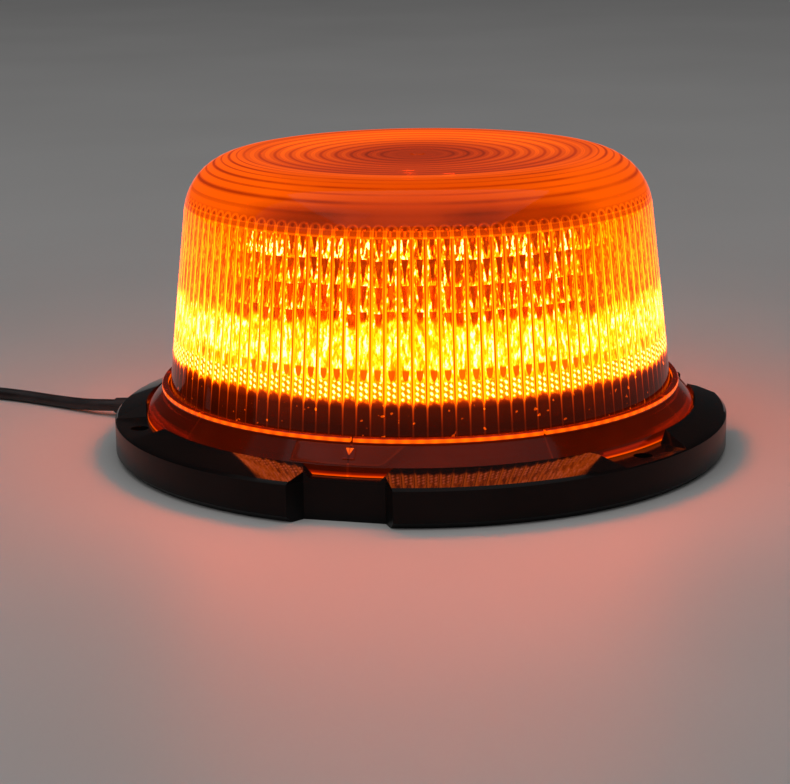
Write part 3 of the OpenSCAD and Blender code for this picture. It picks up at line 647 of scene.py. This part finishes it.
class Mesh:
    """Points and faces of a turned mesh, built up ring by ring."""

    def __init__(self):
        self.points, self.faces = [], []

    def ring(self, points):
        """Adds the points of a ring and gives their indices."""
        first = len(self.points)
        self.points.extend(points)
        return list(range(first, first + len(points)))

    def join(self, low, high):
        """Faces between two rings; one may have a whole number of times more points than the other."""
        n, m = len(low), len(high)
        step_low, step_high = max(1, n // m), max(1, m // n)
        for i in range(min(n, m)):
            a = [low[(i * step_low + k) % n] for k in range(step_low + 1)]
            b = [high[(i * step_high + k) % m] for k in range(step_high + 1)]
            self.faces.append(a + b[::-1])

    def tip(self, ring, point, upwards):
        """Closes a ring with a fan to one point."""
        self.points.append(point)
        end, n = len(self.points) - 1, len(ring)
        for i in range(n):
            face = [ring[i], ring[(i + 1) % n], end]
            self.faces.append(face if upwards else face[::-1])


# ---------------------------------------------------------------- cable
CABLE_D = 3.8
COIL_CENTRE = (-176.0, 38.0)
COIL_RADII = (28.5, 24.7, 20.9, 17.1)                 # of the turns in one layer
COIL_ROWS = 4                    # layers
COIL_FLOOR = 0.6                 # the strap under the coil lifts it by this much
LEAD_ROUTE = [
    (-94.9, 34.5, 3.4), (-97.7, 35.5, 3.3), (-101, 37, 3.0), (-106, 40.3, 2.5), (-112, 44.5, 2.1),
    (-118.5, 48.8, 1.95), (-127, 54, 1.95), (-136, 58.5, 1.95), (-146, 62.4, 1.95), (-156, 65.1, 2.1),
    (-165, 66.2, 2.3),
]
TAIL_ROUTE = [
    (-204.5, 27.5, 13.4), (-204.5, 24, 12.8), (-204.5, 20, 12), (-204.5, 17, 11.5), (-204.5, 14, 11.35),
]
# In the plug the cable runs on through its moulded boot and under the board
PLUG_ROUTE = [
    (-204.5, 9, 11.3), (-204.5, 4, 10.9), (-204.5, -1, 10.3), (-204.5, -6, 9.85), (-204.5, -14, 9.8),
]


def coil_route(per_turn=18, jog=200.0):
    """The turns of the coil: one layer goes inwards and the next one outwards.

    per_turn is the number of points in a turn, and jog the angle over which it moves to the next turn.
    """
    turns = [(radius, row) for row in range(COIL_ROWS)
             for radius in (COIL_RADII if row % 2 == 0 else COIL_RADII[::-1])]
    route = []
    for i in range(len(turns) * per_turn + per_turn // 4 + 1):
        turn = min(i // per_turn, len(turns) - 1)
        within = 360.0 * (i - turn * per_turn) / per_turn
        share = 1.0 if turn == 0 else min(1.0, within / jog)
        share = share * share * (3 - 2 * share)          # eased at both ends
        before, now = turns[max(0, turn - 1)], turns[turn]
        radius = before[0] + (now[0] - before[0]) * share
        row = before[1] + (now[1] - before[1]) * share
        a = math.radians(90 + within)
        route.append((COIL_CENTRE[0] + radius * math.cos(a), COIL_CENTRE[1] + radius * math.sin(a),
                      COIL_FLOOR + CABLE_D * (row + 0.5)))
    return route


def make_cable():
    """The whole lead as one curve, from the base to the inside of the plug."""
    route = LEAD_ROUTE + coil_route() + TAIL_ROUTE + PLUG_ROUTE
    data = bpy.data.curves.new("cable", "CURVE")
    data.dimensions = "3D"
    data.bevel_depth = CABLE_D / 2 * MM
    data.bevel_resolution = 4
    data.resolution_u = 4
    data.use_fill_caps = True
    spline = data.splines.new("BEZIER")
    spline.bezier_points.add(len(route) - 1)
    for point, place in zip(spline.bezier_points, route):
        point.co = [MM * c for c in place]
        point.handle_left_type = point.handle_right_type = "AUTO"
    return add_piece(data, "cable", "body", "cable_black", ("cable_lead", "cable_coil", "cable_tail"))


cable = make_cable()


# ---------------------------------------------------------------- lens
def rib_depth(u, z):
    """How far the inner surface lies under the outer one, at a place across a rib and a height.

    u is -1 and 1 at the edges of the rib.
    """
    over = max(0.0, (z - RIB_ARCH) / (RIB_TOP - RIB_ARCH))
    bulge = math.sqrt(max(0.0, 1 - 0.97 * u * u - over * over))
    groove = max(0.0, 1 - abs(z - RIB_GROOVE) / GROOVE_HALF)
    return SKIN_T + RIB_H * bulge * (1 - 0.75 * groove)


def make_lens():
    """The lens with its ribs, the rings under its top and the gate mark. Only its outside glows."""
    mesh = Mesh()
    fine_angles = [PITCH * (i + k / PER_RIB) - PITCH / 2 for i in range(RIBS) for k in range(PER_RIB)]
    fine_u = [2.0 * k / PER_RIB - 1 for i in range(RIBS) for k in range(PER_RIB)]
    angles = [360.0 * i / PER_CIRCLE - PITCH / 2 for i in range(PER_CIRCLE)]

    def sunk(place, depth, angle):
        """A point at a depth under a place of the outline."""
        (r, z), (nr, nz) = place
        return at(r - depth * nr, angle, z - depth * nz)

    def turned(place, depth=0.0):
        """A smooth ring at that depth."""
        return mesh.ring([sunk(place, depth, a) for a in angles])

    # Outside, upwards from the foot flange
    rows = [mesh.ring([at(FOOT_R, a, z) for a in angles]) for z in (FOOT_Z, FOOT_TOP)]
    wall_end = ARC_Z + SHOULDER * math.sin(DRAFT)
    half_way = 45.0
    rows += [turned(on_wall(z)) for z in (FOOT_TOP, LIP_Z, half_way, wall_end)]
    turns = [DRAFT + (math.pi / 2 - DRAFT) * i / 12 for i in range(1, 12)]
    rows += [turned(on_top(ARC_R + SHOULDER * math.cos(a))) for a in turns]
    rows += [turned(on_top(ARC_R * (1 - i / 10))) for i in range(10)]
    rows += [turned(on_top(r), depth) for r, depth in GATE]
    for low, high in zip(rows, rows[1:]):
        mesh.join(low, high)
    mesh.tip(rows[-1], (0, 0, LENS_H - DISH - GATE_TIP), True)
    outer_points = len(mesh.points)

    # Inside, downwards from the crown
    steps = 6
    count = round((RING_LAST - RING_FIRST) / RING_PITCH) * steps
    inner = [turned(on_top(r), CROWN_T) for r in (1.5, RING_FIRST - 1)]
    for i in range(count + 1):
        r = RING_FIRST + (RING_LAST - RING_FIRST) * i / count
        scallop = abs(math.sin(math.pi * i / steps))
        inner.append(turned(on_top(r), CROWN_T + RING_H * scallop))
    inner += [turned(on_top(r), SKIN_T) for r in (65.0, 66.5)]
    inner.append(turned(on_wall(RIB_TOP + 0.9), SKIN_T))
    arch = RIB_TOP - RIB_ARCH
    heights = [RIB_TOP + 0.05]
    heights += [RIB_ARCH + arch * math.sin(math.radians(a)) for a in (75, 60, 45, 30, 15, 0)]
    heights += [RIB_GROOVE + d for d in (0.5, GROOVE_HALF, 0.12, -0.12, -GROOVE_HALF, -0.5)]
    heights += [70.0, 67.0, wall_end, half_way, RIB_FOOT]
    for z in heights:
        inner.append(mesh.ring([sunk(on_wall(z), rib_depth(u, z), a) for a, u in zip(fine_angles, fine_u)]))
    inner += [turned(on_wall(z), WALL_T * math.cos(DRAFT)) for z in (RIB_FOOT - 0.15, 18.0)]
    inner.append(mesh.ring([at(wall_radius(FOOT_Z) - WALL_T, a, FOOT_Z) for a in angles]))
    for high, low in zip(inner, inner[1:]):
        mesh.join(high, low)
    mesh.tip(inner[0], (0, 0, LENS_H - DISH - CROWN_T), False)
    mesh.join(inner[-1], rows[0])
    piece = add_mesh("lens_shell", mesh.points, mesh.faces, "body", "lens_amber", ("lens",), 35)
    mark = piece.data.attributes.new(OUTER_MARK, "FLOAT", "POINT")
    mark.data.foreach_set("value", [1.0 if i < outer_points else 0.0 for i in range(len(mesh.points))])


make_lens()


# ---------------------------------------------------------------- lock ring
PANEL_SPAN = 12.0                # degrees from the middle of a raised panel to its upright edge
PANEL_SLANT = (7.4, 12.2)        # and to the foot and the head of its slanting edge
PANEL_PLACE = (0.06, 0.96)       # shares of the cone's slope at which it begins and ends
PANEL_RISE = 0.3
PANEL_SINK = 0.06                # its back lies under the cone by this much


def ring_panel(middle, points, faces):
    """A raised panel on the ring's cone, with one upright edge and one slanting one."""
    columns, rows = 25, 9
    first = len(points)
    for face_rise in (-PANEL_SINK, PANEL_RISE):
        for j in range(rows):
            v = j / (rows - 1)
            low, high = -PANEL_SPAN, PANEL_SLANT[0] + (PANEL_SLANT[1] - PANEL_SLANT[0]) * v
            share = PANEL_PLACE[0] + (PANEL_PLACE[1] - PANEL_PLACE[0]) * v
            for i in range(columns):
                u = i / (columns - 1)
                # The bevel is one column wide, and two at the slanting edge
                flat = 0 < i < columns - 2 and 0 < j < rows - 1
                rise = face_rise if flat or face_rise < 0 else PANEL_RISE * 0.25
                r = RING_FOOT[0] + (RING_NECK[0] - RING_FOOT[0]) * share + rise * RING_NORMAL[0]
                z = RING_FOOT[1] + (RING_NECK[1] - RING_FOOT[1]) * share + rise * RING_NORMAL[1]
                points.append(at(r, middle + low + (high - low) * u, z))
    top = first + columns * rows
    for j in range(rows - 1):
        for i in range(columns - 1):
            k = j * columns + i
            quad = [k, k + 1, k + columns + 1, k + columns]
            faces.append([top + n for n in quad])
            faces.append([first + n for n in quad[::-1]])
    border = list(range(columns)) + [j * columns + columns - 1 for j in range(1, rows)]
    border += [(rows - 1) * columns + i for i in range(columns - 2, -1, -1)]
    border += [j * columns for j in range(rows - 2, 0, -1)]
    for a, b in zip(border, border[1:] + border[:1]):
        faces.append([first + a, first + b, top + b, top + a])


def make_ring_panels():
    """One panel over each of the three notches."""
    points, faces = [], []
    for i in range(3):
        ring_panel(NOTCH_ANGLE + 120 * i, points, faces)
    add_mesh("ring_panels", points, faces, "lock_ring", "ring_amber", smooth_deg=25)


make_ring_panels()


# ---------------------------------------------------------------- parts on the lead
def span(node):
    """Lowest and highest corner of a CAD node, in millimetres."""
    return [[1000 * c for c in corner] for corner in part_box(node)]


def tube_faces(rings, per):
    """Faces of a tube whose rings of points follow each other, with closed ends."""
    faces = [[k * per + i, k * per + (i + 1) % per, (k + 1) * per + (i + 1) % per, (k + 1) * per + i]
             for k in range(rings - 1) for i in range(per)]
    return faces + [list(range(per))[::-1], [(rings - 1) * per + i for i in range(per)]]


WIRE_R = 0.45
SPRING_TURNS = 5
CLOSED_TURN = 0.8                # part of a turn at each end that lies close to its neighbour
CLOSED_PITCH = 2.3 * WIRE_R      # how far the wire advances in one closed turn
PIN_TRAVEL = 4.5


def make_spring():
    """Coil spring behind the centre pin, with closed ends."""
    low, high = span("plug_tip_spring")
    x, z = (low[0] + high[0]) / 2, (low[2] + high[2]) / 2
    coil_r = (high[0] - low[0]) / 2 - WIRE_R
    start, end = high[1] - WIRE_R, low[1] + WIRE_R
    per, steps = 8, SPRING_TURNS * 24
    # Share of the wire in each closed end, and of the height that it takes up
    close = CLOSED_TURN / SPRING_TURNS
    rise = CLOSED_PITCH * CLOSED_TURN / (start - end)
    points = []
    for k in range(steps + 1):
        s = k / steps
        share = min(s, close) / close * rise + max(0.0, s - (1 - close)) / close * rise
        share += max(0.0, min(s, 1 - close) - close) / (1 - 2 * close) * (1 - 2 * rise)
        turn = 2 * math.pi * SPRING_TURNS * s
        y = start + (end - start) * share
        for i in range(per):
            a = 2 * math.pi * i / per
            r = coil_r + WIRE_R * math.cos(a)
            points.append((x + r * math.cos(turn), y + WIRE_R * math.sin(a), z + r * math.sin(turn)))
    spring = add_mesh("pin_spring", points, tube_faces(steps + 1, per), "body", "spring_steel",
                      ("plug_tip_spring",))
    length = high[1] - low[1]
    x * MM
    z * MM
    (length - PIN_TRAVEL) / length
    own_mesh(spring)


HANDLE_BACK = 2.0                # y of the rear face of the plug's handle
BOOT_TAIL, BOOT_ROOT = 2.35, 3.45                     # radii at the cable and at the handle
BOOT_END = 3.5                   # radius of the collar against the handle
BOOT_NECK = 2.85                 # radius in the handle's hole, in front of the flange that holds it
FLANGE_T = 1.6
BOOT_RINGS = 6
# One ring and the groove after it: share of a ring's length, and height over the cone
BOOT_RING = ((0.12, 0.0), (0.45, 0.1), (0.72, 0.0), (0.8, -0.35), (0.95, -0.35))


def make_boot():
    """Tapered rubber boot moulded on the cable where it enters the plug, with a groove after each ring."""
    low, high = span("plug_boot")
    back, front = high[1], low[1]
    step = (back - 0.5 - HANDLE_BACK) / BOOT_RINGS
    profile = [(BOOT_TAIL - 0.25, back), (BOOT_TAIL, back - 0.25)]
    for i in range(BOOT_RINGS):
        y = back - 0.3 - i * step
        r = BOOT_TAIL + (BOOT_ROOT - BOOT_TAIL) * (i + 0.5) / BOOT_RINGS
        profile += [(r + over, y - share * step) for share, over in BOOT_RING]
    flange = (high[0] - low[0]) / 2
    profile += [(BOOT_END, HANDLE_BACK + 0.15), (BOOT_END, HANDLE_BACK), (BOOT_NECK, HANDLE_BACK),
                (BOOT_NECK, front + FLANGE_T), (flange, front + FLANGE_T), (flange, front)]
    x, z = (low[0] + high[0]) / 2, (low[2] + high[2]) / 2
    per = 48
    points = [(x + r * math.cos(2 * math.pi * i / per), y, z + r * math.sin(2 * math.pi * i / per))
              for r, y in profile for i in range(per)]
    faces = tube_faces(len(profile), per)
    add_mesh("cable_boot", points, faces, "body", "boot_rubber", ("plug_boot",), 50)


STRAP_ANGLE = 220.0              # where the strap stands on the coil, anticlockwise from +X
STRAP_W, STRAP_T = 7.4, 0.55
STRAP_GAP = 0.03                 # between the strap and the turns
LAP_GAP = 0.05                   # between its two layers on top
LAP_INSET = 0.6                  # how much narrower the ends of the upper layer are, on each side
ARC_STEPS = 6                    # of each rounded corner


def make_strap():
    """Hook and loop strap round the turns of the coil, with its end lapped over on top."""
    low, high = 0.02, COIL_FLOOR + COIL_ROWS * CABLE_D + STRAP_GAP
    corner = CABLE_D / 2
    inner, outer = COIL_RADII[-1] - corner - STRAP_GAP, COIL_RADII[0] + corner + STRAP_GAP
    top, foot = high - corner, low + STRAP_T + corner
    corners = ((outer - corner, top), (inner + corner, top), (inner + corner, foot), (outer - corner, foot))
    path = []
    for k, (r, z) in enumerate(corners):
        for i in range(ARC_STEPS + 1):
            a = math.radians(90 * (k + i / ARC_STEPS))
            path.append((r + corner * math.cos(a), z + corner * math.sin(a), math.cos(a), math.sin(a)))
    lap = [(*place, STRAP_T + LAP_GAP) for place in path[:2 * (ARC_STEPS + 1)]]
    loop = [(*place, 0.0) for place in path + path[:1]]
    columns = 7
    points, faces = [], []
    for route in (loop, lap):
        first = len(points)
        for k, (r, z, nr, nz, lift) in enumerate(route):
            inset = LAP_INSET if route is lap and k in (0, len(route) - 1) else 0.0
            for layer in (lift, lift + STRAP_T):
                for j in range(columns):
                    s = (STRAP_W / 2 - inset) * (2 * j / (columns - 1) - 1)
                    bevel = 0.12 if j in (0, columns - 1) and layer > lift else 0.0
                    rr, zz = r + nr * (layer - bevel), z + nz * (layer - bevel)
                    a = math.radians(STRAP_ANGLE) + s / rr
                    points.append((COIL_CENTRE[0] + rr * math.cos(a), COIL_CENTRE[1] + rr * math.sin(a), zz))
        per = 2 * columns
        rim = list(range(columns)) + [columns + j for j in range(columns - 1, -1, -1)]
        for k in range(len(route) - 1):
            low_ring, high_ring = first + k * per, first + (k + 1) * per
            for a, b in zip(rim, rim[1:] + rim[:1]):
                faces.append([low_ring + a, low_ring + b, high_ring + b, high_ring + a])
        faces.append([first + a for a in rim[::-1]])
        faces.append([first + (len(route) - 1) * per + a for a in rim])
    add_mesh("coil_strap", points, faces, "body", "tie_black", ("coil_tie",), 60)


make_spring()
make_boot()
make_strap()


# ---------------------------------------------------------------- studio
FLOOR_HALF = 6.0                 # metres
SKY_COLOUR, SKY_STRENGTH = (0.95, 0.97, 1.0, 1.0), 0.03
SOFTBOXES = (                    # name, place and size in metres, and watts
    ("softbox_top", (0.0, -0.8, 2.4), 4.0, 36.0),
    ("softbox_left", (-2.6, -1.2, 2.2), 3.0, 8.0),
)
LIGHT_AIM = (0, 0, 0.03)


def make_floor():
    """A plain pale floor."""
    p = Paint("studio_floor")
    p.link(p.colours(p.noise(6.0, 2.0), [(0.3, (0.62, 0.61, 0.6)), (0.7, (0.66, 0.65, 0.64))]), "Base Color")
    p.set(Roughness=0.5)
    data = bpy.data.meshes.new("floor")
    h = FLOOR_HALF
    data.from_pydata([(-h, -h, 0), (h, -h, 0), (h, h, 0), (-h, h, 0)], [], [(0, 1, 2, 3)])
    data.materials.append(p.material)
    floor = bpy.data.objects.new("floor", data)
    bpy.context.scene.collection.objects.link(floor)


def make_light():
    """Soft light from above and from the left, dim enough for the beacon's own light to show."""
    world = bpy.data.worlds.new("studio")
    world.use_nodes = True
    background = world.node_tree.nodes["Background"]
    background.inputs["Color"].default_value = SKY_COLOUR
    background.inputs["Strength"].default_value = SKY_STRENGTH
    bpy.context.scene.world = world
    for name, place, size, power in SOFTBOXES:
        light = bpy.data.lights.new(name, "AREA")
        light.size = size
        light.energy = power
        lamp = bpy.data.objects.new(name, light)
        lamp.location = place
        lamp.rotation_euler = (Vector(LIGHT_AIM) - Vector(place)).to_track_quat("-Z", "Y").to_euler()
        bpy.context.scene.collection.objects.link(lamp)
    bpy.context.scene.view_settings.view_transform = "Standard"


make_floor()
make_light()
